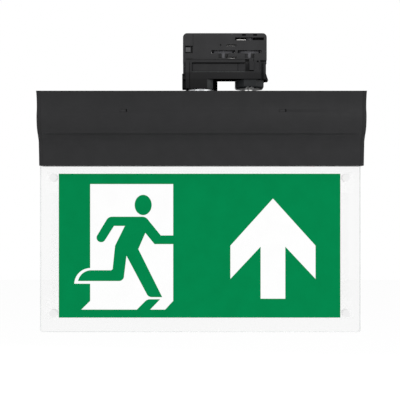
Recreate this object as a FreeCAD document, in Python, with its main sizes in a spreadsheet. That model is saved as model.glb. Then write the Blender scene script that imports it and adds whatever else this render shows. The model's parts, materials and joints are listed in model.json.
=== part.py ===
import FreeCAD, Part
import os
import re

import Sketcher
from FreeCAD import Placement, Rotation, Vector

# A hanging emergency exit light for lighting track. An ogee-profiled housing holds the driver,
# the battery and a strip of lamps, a clear blade with a green legend on each side hangs from it,
# and a three-circuit track adapter stands on top. Frame: +Z up, front is -Y, origin on the
# adapter's shoulder, which is the face that the track rests on. Millimetres.

doc = FreeCAD.newDocument("ExitLight")

# ---------------------------------------------------------------------------------------------
# Driving dimensions
# ---------------------------------------------------------------------------------------------

SIZES = {
    # clearances
    "slip": 0.2,                 # between pieces that are only put together
    "play": 0.3,                 # round pieces that move past each other
    "fit_play": 0.05,            # round a shaft in its bearing
    # housing
    "housing_length": 343,
    "housing_height": 77,
    "rim_half": 33,              # half depths, from the rim down
    "cove_half": 29.8,
    "waist_half": 28.8,
    "dip_half": 29.02,
    "flank_half": 29.7,
    "swell_half": 30.38,
    "bulge_half": 30.6,
    "belly_half": 30.26,
    "fold_half": 29.4,
    "turn_half": 27.7,
    "sweep_half": 24.4,
    "curl_half": 20.51,
    "crease_half": 17.1,
    "skirt_half": 15.3,
    "hem_half": 14,
    "cove_drop": 8,              # and how far each lies below the rim
    "waist_drop": 16,
    "dip_drop": 18.6,
    "flank_drop": 21.2,
    "swell_drop": 23.8,
    "bulge_drop": 26.4,
    "belly_drop": 31,
    "fold_drop": 35,
    "turn_drop": 39,
    "sweep_drop": 43.1,
    "curl_drop": 47.14,
    "crease_drop": 51.6,
    "skirt_drop": 65,
    "wall": 2,
    "cap_thickness": 4,
    # screw ports of the housing and the screws of the caps
    "port_half": 22.6,
    "port_drop": 41,
    "port_radius": 3.2,
    "screw_radius": 1.45,
    "screw_length": 16,
    "screw_head_radius": 3,
    "screw_head_height": 1.8,
    "recess_width": 0.8,
    # tray, and the spring catches that show in the front
    "tray_thickness": 1.5,
    "catch_left": -81.9,
    "catch_right": 84,
    "catch_drop": 20.3,
    "catch_width": 6,
    "catch_height": 2.9,
    "release_width": 1.2,
    "tongue_width": 20,
    "tongue_thickness": 1.2,
    "tongue_half": 26.3,
    # driver
    "driver_margin": 15.5,
    "driver_length": 104,
    "driver_half": 19,
    "driver_height": 24,
    "driver_wall": 1.5,
    "board_thickness": 1.6,
    "coil_size": 16,
    "coil_height": 13,
    "capacitor_radius": 5,
    "capacitor_length": 16,
    # battery
    "cell_radius": 7.2,
    "cell_length": 50,
    "battery_margin": 49.5,
    "strap_width": 8,
    "strap_thickness": 1,
    # terminal block
    "terminal_left": 20,
    "terminal_length": 26,
    "terminal_half": 9,
    "terminal_height": 17.5,
    "terminal_pole": 12,
    "terminal_pitch": 6,
    "terminal_bore": 1.9,
    # leads between them
    "lead_radius": 1.3,
    "lead_bend": 5.8,
    "lamp_lead_step": 18,
    "lamp_lead_drop": 16,
    "signal_lead_drop": 19.4,
    # blade
    "blade_inset": 1,
    "blade_thickness": 8,
    "blade_shift": -1.3,
    "blade_corner": 2.5,
    "tongue_margin": 6.5,
    "blade_tongue": 14,
    "pin_radius": 2,
    "pin_margin": 31,
    # clamp, lamps
    "clamp_wall": 1.5,
    "clamp_flange": 1.5,
    "lamp_thickness": 0.8,
    "lamp_length": 3.5,
    "lamp_width": 2.8,
    "lamp_pitch": 12.8,
    "lip_screw_radius": 1.2,
    "lip_screw_head": 2.1,
    "lip_screw_length": 5,
    "lip_screw_margin": 95,
    # legend
    "label_margin": 21,
    "label_height": 153.3,
    "label_shift": -0.75,
    "label_drop": 8.3,
    "label_foot": 15.7,
    "sheet_margin": 9,
    "sheet_thickness": 1,
    "sheet_overlap": 1.5,
    "ear_height": 22,
    "ear_margin": 15,
    "film_thickness": 0.15,
    "rivet_margin": 6.3,
    "rivet_inset": 4.15,
    "rivet_radius": 2.1,
    "rivet_head_radius": 4.2,
    "rivet_head_height": 1,
    # test button and status lamp, on the hem behind the blade
    "button_margin": 47.5,
    "button_radius": 2,
    "button_flange": 2.6,
    "button_proud": 0.2,
    "button_travel": 0.8,
    "plunger_radius": 1.1,
    "switch_size": 5,
    "indicator_step": 14,
    "indicator_radius": 1.5,
    # adapter: the tower that goes into the track
    "tower_left": -19.7,
    "tower_right": 69.3,
    "tower_half": 8.5,
    "tower_height": 31.2,
    "tower_corner": 4.4,
    "tower_foot": 0.8,
    "head_slot_width": 4.1,
    "head_slot_height": 1.8,
    "head_slot_depth": 6,
    "slot_depth": 4,
    "line_depth": 0.5,
    "line_width": 0.6,
    "seam_step": 10.4,
    "seam_level": 2.9,
    "tab_margin": 2.8,
    "tab_width": 5.2,
    "tab_height": 4.8,
    "tab_level": 11.5,
    "tab_thickness": 0.6,
    "tab_gap": 1.6,
    "slit_level": 3.4,
    # adapter: the base under the track, and what the light hangs from
    "base_left": -19.5,
    "base_right": 68.2,
    "base_half": 17,
    "base_height": 18.4,
    "boss_height": 10.2,
    "cheek_left": -16.7,
    "cheek_right": 5.8,
    "cheek_drop": 9.8,
    "foot_drop": 10.2,
    "foot_width": 7.5,
    "foot_depth": 4,
    "heel_drop": 13.8,
    "heel_width": 2.3,
    "relief_start": 5.7,
    "relief_height": 1.8,
    "left_step": 2.8,
    "corner_step": 2.6,
    "step_depth": 4,
    "groove_width": 1,
    "groove_margin": 3.6,
    "left_tab_top": 11.3,
    "left_tab_low": 26.8,
    "left_tab_proud": 1.1,
    "right_tab_top": 2,
    "right_tab_flare": 3,
    "tab_root": 6,
    "end_hole_radius": 0.9,
    "end_hole_inset": 1,
    "end_hole_drop": 14.2,
    "collar_height": 4.1,
    "collar_radius": 14.2,
    "nipple_radius": 5,
    "nipple_bore": 3.5,
    "nipple_engage": 8,
    "nut_radius": 8.5,
    "nut_height": 4,
    "base_screw_back": 6,
    "base_screw_left": 8,
    "base_screw_right": 10,
    # rotors
    "selector_across": 51,
    "lock_across": 23.2,
    "rotor_radius": 4.2,
    "cam_reach": 12.3,
    "cam_height": 2.6,
    "cam_level": 11.6,
    "cam_half": 4,
    "stem_level": 5,
    "stem_half": 5.1,
    "contact_thickness": 0.9,
    "contact_width": 4.4,
    "contact_end": 1.2,
    "phase_level": 24.7,
    "phase_reach": 13.3,
    "phase_end": 15.3,
    "neutral_level": 17.8,
    "neutral_reach": 13,
    "neutral_start": 3.5,
    "earth_level": 4.6,
    "earth_reach": 13,
    "peep_radius": 0.8,
    "peep_step": 3,
    # lever, in a recessed band of the base
    "band_depth": 2.3,
    "band_top": 1.1,
    "band_low": 10.4,
    "band_right": 46.2,
    "band_lip": 0.8,
    "lever_gap": 0.9,
    "lever_reach": 32.8,
    "lever_thickness": 4.3,
    "hub_radius": 8,
    # the selector's catch, right of the band
    "gap_width": 4.4,
    "gap_depth": 6,
    "gap_rise": 3.7,
    "post_width": 4.6,
    "post_rise": 4.5,
    "post_foot": 1.2,
    "flank_width": 6.7,
    "flank_depth": 0.8,
    "hole_step": 3.4,
    "hole_width": 2.1,
    "hole_drop": 0.8,
    "hole_rise": 2.1,
    "corner_rise": 2.5,
    "corner_width": 3.2,
    "corner_depth": 7,
    # knob
    "knob_radius": 16.4,
    "knob_height": 9,
    "knob_round": 2.4,
    "knob_seat": 2,
    "flute_radius": 2.6,
    "flute_step": 2.1,
    "flute_depth": 1.3,
}

sheet = doc.addObject("Spreadsheet::Sheet", "Sizes")
for row, (alias, size) in enumerate(SIZES.items(), start=1):
    sheet.set(f"A{row}", alias.replace("_", " "))
    sheet.set(f"B{row}", str(size))
    sheet.setAlias(f"B{row}", alias)
doc.recompute()


def sized(formula):
    """A formula over the sheet's aliases, as an expression of the document."""
    def named(word):
        return "Sizes." + word.group() if word.group() in SIZES else word.group()

    return re.sub(r"[a-z][a-z_]+", named, str(formula))


def bind(item, target, formula):
    """Drive one property of an object from the sheet."""
    item.setExpression(target, sized(formula))


def number(formula):
    """What a formula over the sheet comes to."""
    return float(sheet.evalExpression(sized(formula)))


# ---------------------------------------------------------------------------------------------
# Building blocks
# ---------------------------------------------------------------------------------------------

ALONG = {"X": Rotation(Vector(0, 1, 0), 90), "Y": Rotation(Vector(1, 0, 0), -90), "Z": Rotation()}
PLACES = ("Placement.Base.x", "Placement.Base.y", "Placement.Base.z")

nodes = []


def node(item, label):
    """Name a finished sub-part, which is written to a file of that name."""
    item.Label = label
    nodes.append(item)
    return item


def block(name, x, y, z):
    """A box between a low and a high formula along each axis."""
    item = doc.addObject("Part::Box", name)
    for side, place, (low, high) in zip(("Length", "Width", "Height"), PLACES, (x, y, z)):
        bind(item, side, f"({high}) - ({low})")
        bind(item, place, low)
    return item


def rod(name, radius, span, centre, along="Z"):
    """A cylinder along an axis over a span, at the other two axes' coordinates."""
    item = doc.addObject("Part::Cylinder", name)
    item.Placement = Placement(Vector(), ALONG[along])
    low, high = span
    bind(item, "Radius", radius)
    bind(item, "Height", f"({high}) - ({low})")
    base = list(centre)
    base.insert("XYZ".index(along), low)
    for place, formula in zip(PLACES, base):
        bind(item, place, formula)
    return item


def taper(name, low_radius, high_radius, span, centre, along="Z"):
    """A cone along an axis, placed as a rod is."""
    item = doc.addObject("Part::Cone", name)
    item.Placement = Placement(Vector(), ALONG[along])
    low, high = span
    bind(item, "Radius1", low_radius)
    bind(item, "Radius2", high_radius)
    bind(item, "Height", f"({high}) - ({low})")
    base = list(centre)
    base.insert("XYZ".index(along), low)
    for place, formula in zip(PLACES, base):
        bind(item, place, formula)
    return item


def fuse(name, pieces):
    """Pieces made into one solid."""
    item = doc.addObject("Part::MultiFuse", name)
    item.Shapes = pieces
    item.Refine = True
    return item


def group(name, pieces):
    """Like pieces kept as separate solids of one sub-part."""
    item = doc.addObject("Part::Compound", name)
    item.Links = pieces
    return item


def cut(name, solid, tools):
    """A solid with one or more tools taken out of it."""
    item = doc.addObject("Part::Cut", name)
    item.Base = solid
    item.Tool = tools[0] if len(tools) == 1 else fuse(name + "Tools", tools)
    item.Refine = True
    return item


def overlap(name, first, second):
    """What two solids share."""
    item = doc.addObject("Part::Common", name)
    item.Base = first
    item.Tool = second
    return item


def body(name):
    return doc.addObject("PartDesign::Body", name)


def sketch(owner, name, plane, offset="0"):
    """An empty sketch on one of a body's own origin planes, moved along the plane's normal."""
    item = owner.newObject("Sketcher::SketchObject", name)
    support = [feature for feature in owner.Origin.OriginFeatures if feature.Role == plane][0]
    item.AttachmentSupport = [(support, "")]
    item.MapMode = "FlatFace"
    bind(item, "AttachmentOffset.Base.z", offset)
    return item


def pin_point(item, geometry, end, point):
    """Hold one point of a sketch at two formulas."""
    for kind, formula in zip(("DistanceX", "DistanceY"), point):
        index = item.addConstraint(Sketcher.Constraint(kind, -1, 1, geometry, end, number(formula)))
        bind(item, f"Constraints[{index}]", formula)


def outline(item, start, steps):
    """A closed outline from a start point. A step with one point is a line to it, and a step
    with two is an arc through the first to the second."""
    here = start
    for step in steps:
        begin = Vector(*[number(part) for part in here])
        finish = Vector(*[number(part) for part in step[-1]])
        if len(step) == 1:
            edge = item.addGeometry(Part.LineSegment(begin, finish), False)
        else:
            middle = Vector(*[number(part) for part in step[0]])
            arc = Part.Arc(begin, middle, finish)
            turns_right = (middle - begin).cross(finish - middle).z < 0
            edge = item.addGeometry(arc, False)
            guide = item.addGeometry(Part.Point(middle), True)
            pin_point(item, guide, 1, step[0])
            item.addConstraint(Sketcher.Constraint("PointOnObject", guide, 1, edge))
        ends = (1, 2)
        if len(step) == 2 and turns_right:
            ends = (2, 1)
        pin_point(item, edge, ends[0], here)
        pin_point(item, edge, ends[1], step[-1])
        here = step[-1]


def circle(item, centre, radius):
    """A circle of a sketch, held by its centre and radius."""
    middle = Vector(number(centre[0]), number(centre[1]), 0)
    edge = item.addGeometry(Part.Circle(middle, Vector(0, 0, 1), number(radius)), False)
    pin_point(item, edge, 3, centre)
    index = item.addConstraint(Sketcher.Constraint("Radius", edge, number(radius)))
    bind(item, f"Constraints[{index}]", radius)


def rectangle(item, across, up):
    """A rectangle of a sketch between a low and a high formula each way."""
    (left, right), (low, high) = across, up
    outline(item, (left, low), [[(right, low)], [(right, high)], [(left, high)], [(left, low)]])


def pad(owner, name, profile, length, reverse=False):
    item = owner.newObject("PartDesign::Pad", name)
    item.Profile = profile
    item.Reversed = reverse
    bind(item, "Length", length)
    return item


def pocket(owner, name, profile, depth, reverse=False):
    item = owner.newObject("PartDesign::Pocket", name)
    item.Profile = profile
    item.Reversed = reverse
    bind(item, "Length", depth)
    return item


# ---------------------------------------------------------------------------------------------
# Levels and places that several pieces share
# ---------------------------------------------------------------------------------------------

TOP = "(-(base_height + boss_height + collar_height))"
HEM = f"({TOP} - housing_height)"
FLOOR = f"({HEM} + wall)"
TRAY = f"({TOP} - tray_thickness)"
INNER = "(housing_length / 2 - cap_thickness)"
BLADE_TOP = f"({HEM} + blade_tongue)"
BLADE_BOTTOM = f"({HEM} - label_drop - label_height - label_foot)"
BLADE_WIDTH = "(housing_length - blade_inset)"
TONGUE_HALF = f"({INNER} - tongue_margin)"
PIN_STEPS = (f"-({TONGUE_HALF} - pin_margin)", "0", f"({TONGUE_HALF} - pin_margin)")
LIP_SCREWS = (f"({TONGUE_HALF} - lip_screw_margin)", f"-({TONGUE_HALF} - lip_screw_margin)")
BLADE_HALF = "(blade_thickness / 2)"
CLAMP_HALF = f"({BLADE_HALF} + slip + clamp_wall)"
CLAMP_ROOF = f"({BLADE_TOP} + play + lamp_thickness + board_thickness)"
DRIVER_LEFT = f"(driver_margin - {INNER})"
DRIVER_RIGHT = f"({DRIVER_LEFT} + driver_length)"
LAMP_LEAD = f"({DRIVER_RIGHT} + lamp_lead_step)"
BATTERY_LEFT = f"({INNER} - battery_margin - cell_length)"
BUTTON = f"({INNER} - button_margin)"
INDICATOR = f"({BUTTON} - indicator_step)"
LIP = f"(({CLAMP_HALF} + hem_half - wall) / 2)"
MOUTHS = {                       # where the leads leave the driver, front to back and up
    "Supply": ("terminal_pitch", f"{TRAY} - terminal_pole"),
    "Battery": ("-(2 * cell_radius + slip)", f"{TRAY} - cell_radius"),
    "Lamp": ("0", f"{TRAY} - lamp_lead_drop"),
    "Signal": (LIP, f"{TRAY} - signal_lead_drop"),
}
LABEL_TOP = f"({HEM} - label_drop)"
LABEL_MIDDLE = f"({LABEL_TOP} - label_height / 2)"
LABEL_CENTRE = "(blade_shift + label_shift)"
LABEL_WIDTH = f"({BLADE_WIDTH} - 2 * label_margin)"


# ---------------------------------------------------------------------------------------------
# Housing
# ---------------------------------------------------------------------------------------------

OGEE = [
    (("cove_half", "cove_drop"), ("waist_half", "waist_drop")),
    (("dip_half", "dip_drop"), ("flank_half", "flank_drop")),
    (("swell_half", "swell_drop"), ("bulge_half", "bulge_drop")),
    (("belly_half", "belly_drop"), ("fold_half", "fold_drop")),
    (("turn_half", "turn_drop"), ("sweep_half", "sweep_drop")),
    (("curl_half", "curl_drop"), ("crease_half", "crease_drop")),
    (("skirt_half", "skirt_drop"), ("hem_half", "housing_height")),
]


def ogee_side(sign, inset="0"):
    """The moulded side of the housing from its rim to its hem, as arcs. The inset brings it
    inwards by a wall."""
    rim = (f"{sign} * (rim_half - {inset})", TOP)
    arcs = []
    for middle, finish in OGEE:
        arcs.append([(f"{sign} * ({half} - {inset})", f"{TOP} - {drop}") for half, drop in (middle, finish)])
    if inset != "0":
        hem_half, _ = arcs[-1][-1]
        middle_half, middle_drop = arcs[-1][0]
        arcs[-1] = [(middle_half, middle_drop), (hem_half, FLOOR)]
    return rim, arcs


def backwards(start, arcs):
    """The same side drawn from its hem up to its rim."""
    stops = [start] + [arc[-1] for arc in arcs]
    return stops[-1], [[arc[0], stop] for arc, stop in reversed(list(zip(arcs, stops)))]


def make_housing():
    owner = body("Housing")
    section = sketch(owner, "HousingSection", "YZ_Plane", f"-{INNER}")
    rear_rim, rear = ogee_side("1")
    front_hem, front_up = backwards(*ogee_side("-1"))
    inner_front_rim, inner_front = ogee_side("-1", "wall")
    inner_rear_hem, inner_rear_up = backwards(*ogee_side("1", "wall"))
    outline(section, rear_rim,
            rear + [[front_hem]] + front_up + [[inner_front_rim]] + inner_front
            + [[inner_rear_hem]] + inner_rear_up + [[rear_rim]])
    pad(owner, "HousingShell", section, f"2 * {INNER}")

    ports = sketch(owner, "PortSection", "YZ_Plane", f"-{INNER}")
    for sign in ("1", "-1"):
        circle(ports, (f"{sign} * port_half", f"{TOP} - port_drop"), "port_radius")
    pad(owner, "ScrewPorts", ports, f"2 * {INNER}")

    holes = sketch(owner, "PortHoles", "YZ_Plane", f"-{INNER}")
    for sign in ("1", "-1"):
        circle(holes, (f"{sign} * port_half", f"{TOP} - port_drop"), "screw_radius + fit_play")
    pocket(owner, "PortBores", holes, f"2 * {INNER}", reverse=True)

    slot = sketch(owner, "BladeSlotOutline", "XY_Plane", HEM)
    rectangle(slot, (f"blade_shift - {TONGUE_HALF} - slip", f"blade_shift + {TONGUE_HALF} + slip"),
              (f"-{BLADE_HALF} - slip", f"{BLADE_HALF} + slip"))
    pocket(owner, "BladeSlot", slot, "wall", reverse=True)

    dots = sketch(owner, "HemHoles", "XY_Plane", HEM)
    circle(dots, (BUTTON, LIP), "button_radius + play")
    circle(dots, (INDICATOR, LIP), "indicator_radius + slip")
    for across in LIP_SCREWS:
        for sign in ("1", "-1"):
            circle(dots, (across, f"{sign} * {LIP}"), "lip_screw_radius + fit_play")
    pocket(owner, "HemBores", dots, "wall", reverse=True)

    windows = sketch(owner, "CatchWindows", "XZ_Plane", "rim_half")
    for across in ("catch_left", "catch_right"):
        rectangle(windows, (f"{across} - catch_width / 2", f"{across} + catch_width / 2 + release_width"),
                  (f"{TOP} - catch_drop - catch_height / 2", f"{TOP} - catch_drop + catch_height / 2"))
    pocket(owner, "CatchOpenings", windows, "2 * rim_half")
    doc.recompute()

    sinks = []
    for index, across in enumerate(LIP_SCREWS):
        for side, sign in (("Rear", "1"), ("Front", "-1")):
            sinks.append(taper(f"HemSink{side}{index}", "lip_screw_head + fit_play",
                               "lip_screw_radius + fit_play",
                               (HEM, f"{HEM} + lip_screw_head - lip_screw_radius"),
                               (across, f"{sign} * {LIP}")))
    node(cut("HousingProfile", owner, sinks), "housing_profile")


def make_cap(side, sign):
    """An end cap with the housing's own outline, and a countersunk screw into each port."""
    owner = body(f"{side}Cap")
    face = f"{sign} * housing_length / 2"
    low = face if sign == "-1" else INNER
    section = sketch(owner, f"{side}CapSection", "YZ_Plane", low)
    rear_rim, rear = ogee_side("1")
    front_hem, front_up = backwards(*ogee_side("-1"))
    outline(section, rear_rim, rear + [[front_hem]] + front_up + [[rear_rim]])
    pad(owner, f"{side}CapPlate", section, "cap_thickness")
    doc.recompute()

    tools = []
    screws = []
    for index, place in enumerate(("port_half", "-port_half")):
        centre = (place, f"{TOP} - port_drop")
        inwards = f"{face} - {sign} * screw_head_height"
        tip = f"{face} - {sign} * screw_length"
        ends = (tip, inwards) if sign == "1" else (inwards, tip)
        head = (inwards, face) if sign == "1" else (face, inwards)
        radii = ["screw_radius", "screw_head_radius"]
        drive_floor = f"{face} - {sign} * screw_head_height / 2"
        deep = (drive_floor, face) if sign == "1" else (face, drive_floor)
        if sign == "-1":
            radii.reverse()
        sink = [f"{radius} + fit_play" for radius in radii]
        tools.append(taper(f"{side}CapSink{index}", *sink, head, centre, "X"))
        tools.append(rod(f"{side}CapHole{index}", "screw_radius + fit_play", (low, f"{low} + cap_thickness"),
                         centre, "X"))
        shank = rod(f"{side}Shank{index}", "screw_radius", ends, centre, "X")
        cone = taper(f"{side}Head{index}", *radii, head, centre, "X")
        cross = [block(f"{side}CrossFlat{index}", deep,
                       (f"{place} - screw_radius", f"{place} + screw_radius"),
                       (f"{centre[1]} - recess_width / 2", f"{centre[1]} + recess_width / 2")),
                 block(f"{side}CrossTall{index}", deep,
                       (f"{place} - recess_width / 2", f"{place} + recess_width / 2"),
                       (f"{centre[1]} - screw_radius", f"{centre[1]} + screw_radius"))]
        screws.append(cut(f"{side}Screw{index}", fuse(f"{side}ScrewBlank{index}", [shank, cone]), cross))
    node(cut(f"{side}EndCap", owner, tools), f"{side.lower()}_end_cap")
    node(group(f"{side}CapScrews", screws), f"{side.lower()}_cap_screws")


# ---------------------------------------------------------------------------------------------
# Tray and what it carries
# ---------------------------------------------------------------------------------------------

def make_tray():
    """The plate that closes the housing's top. A spring tongue hangs at each window, and ends
    in a catch that fills it. The plate is narrower than the rim, because the cove closes in."""
    half = "(rim_half - wall - 2 * (rim_half - cove_half) * tray_thickness / cove_drop)"
    pieces = [block("TrayPlate", (f"-{INNER}", INNER), (f"-{half}", half), (TRAY, TOP))]
    for index, across in enumerate(("catch_left", "catch_right")):
        middle = f"({TOP} - catch_drop)"
        for side, thick, proud in (
                ("Front", ("-tongue_half", "tongue_thickness - tongue_half"),
                 ("-waist_half - slip", "-tongue_half")),
                ("Rear", ("tongue_half - tongue_thickness", "tongue_half"),
                 ("tongue_half", "waist_half + slip"))):
            pieces.append(block(f"{side}Tongue{index}",
                                (f"{across} - tongue_width / 2", f"{across} + tongue_width / 2"), thick,
                                (f"{middle} - catch_height", TRAY)))
            pieces.append(block(f"{side}Catch{index}",
                                (f"{across} - catch_width / 2 + slip", f"{across} + catch_width / 2"), proud,
                                (f"{middle} - catch_height / 2 + slip", f"{middle} + catch_height / 2 - slip")))
    bore = rod("TrayBore", "nipple_radius + slip", (TRAY, TOP), ("0", "0"))
    node(cut("GearTray", fuse("TrayBlank", pieces), [bore]), "gear_tray")


def make_driver():
    """The driver: a case with its board and four components, closed by a lid."""
    low = f"{TRAY} - driver_height"
    lid_low = f"{TRAY} - driver_wall"
    across = ("-driver_half", "driver_half")
    shell = block("DriverShell", (DRIVER_LEFT, DRIVER_RIGHT), across, (low, lid_low))
    room = block("DriverRoom", (f"{DRIVER_LEFT} + driver_wall", f"{DRIVER_RIGHT} - driver_wall"),
                 ("driver_wall - driver_half", "driver_half - driver_wall"), (f"{low} + driver_wall", lid_low))
    mouths = [rod(f"DriverMouth{name}", "lead_radius + slip", (f"{DRIVER_RIGHT} - driver_wall", DRIVER_RIGHT),
                  centre, "X") for name, centre in MOUTHS.items()]
    node(cut("DriverCase", shell, [room] + mouths), "driver_case")
    node(block("DriverLid", (DRIVER_LEFT, DRIVER_RIGHT), across, (lid_low, TRAY)), "driver_lid")

    deck = f"{low} + driver_wall"
    board = block("DriverBoard",
                  (f"{DRIVER_LEFT} + driver_wall + slip", f"{DRIVER_RIGHT} - driver_wall - slip"),
                  ("driver_wall + slip - driver_half", "driver_half - driver_wall - slip"),
                  (deck, f"{deck} + board_thickness"))
    node(board, "driver_board")
    on_board = f"{deck} + board_thickness"
    middle = f"{DRIVER_LEFT} + driver_length / 2"
    coil = block("DriverCoil", (f"{middle} - coil_size / 2", f"{middle} + coil_size / 2"),
                 ("-coil_size / 2", "coil_size / 2"), (on_board, f"{on_board} + coil_height"))
    cans = [rod(f"DriverCan{index}", "capacitor_radius", (on_board, f"{on_board} + capacitor_length"),
                (f"{middle} + {step} * (coil_size + capacitor_radius)", "0"))
            for index, step in enumerate((-2, 1, 2))]
    node(group("DriverComponents", [coil] + cans), "driver_components")


def make_battery():
    """Three cells side by side under the tray, held up by two straps."""
    centre_level = f"{TRAY} - cell_radius"
    cells = [rod(f"Cell{index}", "cell_radius", (BATTERY_LEFT, f"{BATTERY_LEFT} + cell_length"),
                 (f"{index - 1} * (2 * cell_radius + slip)", centre_level), "X") for index in range(3)]
    node(group("BatteryCells", cells), "battery_cells")
    half = "(3 * cell_radius + slip)"
    under = f"({TRAY} - 2 * cell_radius)"
    straps = []
    for index, across in enumerate((f"{BATTERY_LEFT} + strap_width",
                                    f"{BATTERY_LEFT} + cell_length - 2 * strap_width")):
        span = (across, f"{across} + strap_width")
        straps.append(fuse(f"Strap{index}", [
            block(f"StrapSling{index}", span, (f"-{half} - strap_thickness", f"{half} + strap_thickness"),
                  (f"{under} - strap_thickness", under)),
            block(f"StrapFront{index}", span, (f"-{half} - strap_thickness", f"-{half}"), (under, TRAY)),
            block(f"StrapRear{index}", span, (half, f"{half} + strap_thickness"), (under, TRAY))]))
    node(group("BatteryStraps", straps), "battery_straps")


def make_terminals():
    """The terminal block that joins the mains lead to the driver's, with six screws."""
    low = f"{TRAY} - terminal_height"
    right = "terminal_left + terminal_length"
    case = block("TerminalCase", ("terminal_left", right), ("-terminal_half", "terminal_half"), (low, TRAY))
    tools = []
    screws = []
    for index, step in enumerate(("-1", "0", "1")):
        pole = f"{step} * terminal_pitch"
        tools.append(rod(f"TerminalBore{index}", "terminal_bore", ("terminal_left", right),
                         (pole, f"{TRAY} - terminal_pole"), "X"))
        for end, across in (("Near", "terminal_left + terminal_length / 4"),
                            ("Far", "terminal_left + 3 * terminal_length / 4")):
            tools.append(rod(f"TerminalWell{end}{index}", "terminal_bore", (low, f"{TRAY} - terminal_pole"),
                             (across, pole)))
            screws.append(rod(f"TerminalScrew{end}{index}", "terminal_bore - fit_play",
                              (f"{low} + wall / 2", f"{TRAY} - terminal_pole - lead_radius"),
                              (across, pole)))
    node(cut("TerminalBlock", case, tools), "terminal_block")
    node(group("TerminalScrews", screws), "terminal_screws")


def lead(name, label, points):
    """A sheathed lead along straight runs joined by arcs, from one point to the next."""
    stops = [Vector(*[number(part) for part in point]) for point in points]
    bend = number("lead_bend")
    edges = []
    here = stops[0]
    for before, corner, after in zip(stops, stops[1:], stops[2:]):
        inwards = (before - corner).normalize()
        onwards = (after - corner).normalize()
        start, finish = corner + inwards * bend, corner + onwards * bend
        centre = corner + (inwards + onwards) * bend
        middle = centre + (corner - centre).normalize() * bend
        edges.append(Part.LineSegment(here, start).toShape())
        edges.append(Part.Arc(start, middle, finish).toShape())
        here = finish
    edges.append(Part.LineSegment(here, stops[-1]).toShape())
    ring = Part.Wire([Part.makeCircle(number("lead_radius"), stops[0], stops[1] - stops[0])])
    item = doc.addObject("Part::Feature", name)
    item.Shape = Part.Wire(edges).makePipeShell([ring], True, False)
    item.Placement = Placement()
    node(item, label)


def make_leads():
    """The leads inside the housing. Each turn of theirs is square."""
    inside = "2 * lead_radius"
    lead("MainsLead", "mains_lead", [
        ("0", "0", "nipple_engage - base_height - boss_height"), ("0", "0", f"{TRAY} - terminal_pole"),
        (f"terminal_left + {inside}", "0", f"{TRAY} - terminal_pole")])
    lead("SupplyLead", "supply_lead", [
        (f"{DRIVER_RIGHT} - {inside}", *MOUTHS["Supply"]), (f"terminal_left + {inside}", *MOUTHS["Supply"])])
    lead("BatteryLead", "battery_lead", [
        (f"{DRIVER_RIGHT} - {inside}", *MOUTHS["Battery"]), (BATTERY_LEFT, *MOUTHS["Battery"])])
    lead("LampLead", "lamp_lead", [
        (f"{DRIVER_RIGHT} - {inside}", *MOUTHS["Lamp"]), (LAMP_LEAD, *MOUTHS["Lamp"]),
        (LAMP_LEAD, "0", CLAMP_ROOF)])
    lead("SignalLead", "signal_lead", [
        (f"{DRIVER_RIGHT} - {inside}", *MOUTHS["Signal"]), (INDICATOR, *MOUTHS["Signal"]),
        (INDICATOR, LIP, f"{FLOOR} + switch_size")])


# ---------------------------------------------------------------------------------------------
# Blade, its clamp and the lamps
# ---------------------------------------------------------------------------------------------

def make_blade():
    owner = body("Blade")
    face = sketch(owner, "BladeOutline", "XZ_Plane", f"-{BLADE_HALF}")
    left, right = f"(blade_shift - {BLADE_WIDTH} / 2)", f"(blade_shift + {BLADE_WIDTH} / 2)"
    neck_left, neck_right = f"(blade_shift - {TONGUE_HALF})", f"(blade_shift + {TONGUE_HALF})"
    shallow = "blade_corner * (1 - sqrt(0.5))"
    outline(face, (neck_left, BLADE_TOP), [
        [(neck_left, HEM)], [(left, HEM)], [(left, f"{BLADE_BOTTOM} + blade_corner")],
        [(f"{left} + {shallow}", f"{BLADE_BOTTOM} + {shallow}"), (f"{left} + blade_corner", BLADE_BOTTOM)],
        [(f"{right} - blade_corner", BLADE_BOTTOM)],
        [(f"{right} - {shallow}", f"{BLADE_BOTTOM} + {shallow}"), (right, f"{BLADE_BOTTOM} + blade_corner")],
        [(right, HEM)], [(neck_right, HEM)], [(neck_right, BLADE_TOP)], [(neck_left, BLADE_TOP)]])
    pad(owner, "BladePlate", face, "blade_thickness")
    holes = sketch(owner, "BladeHoles", "XZ_Plane", f"-{BLADE_HALF}")
    for across, level in rivet_places():
        circle(holes, (across, level), "rivet_radius + fit_play")
    for step in PIN_STEPS:
        circle(holes, (f"blade_shift + {step}", f"{HEM} + blade_tongue / 2"), "pin_radius + fit_play")
    pocket(owner, "BladeBores", holes, "blade_thickness", reverse=True)
    node(owner, "light_blade")


def rivet_places():
    """Centres of the four rivets that hold the legends, from the legend's own middle."""
    return [(f"{LABEL_CENTRE} + {across} * ({LABEL_WIDTH} / 2 + rivet_margin)",
             f"{LABEL_MIDDLE} + {up} * (label_height / 2 - rivet_inset)")
            for across in ("-1", "1") for up in ("-1", "1")]


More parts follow.
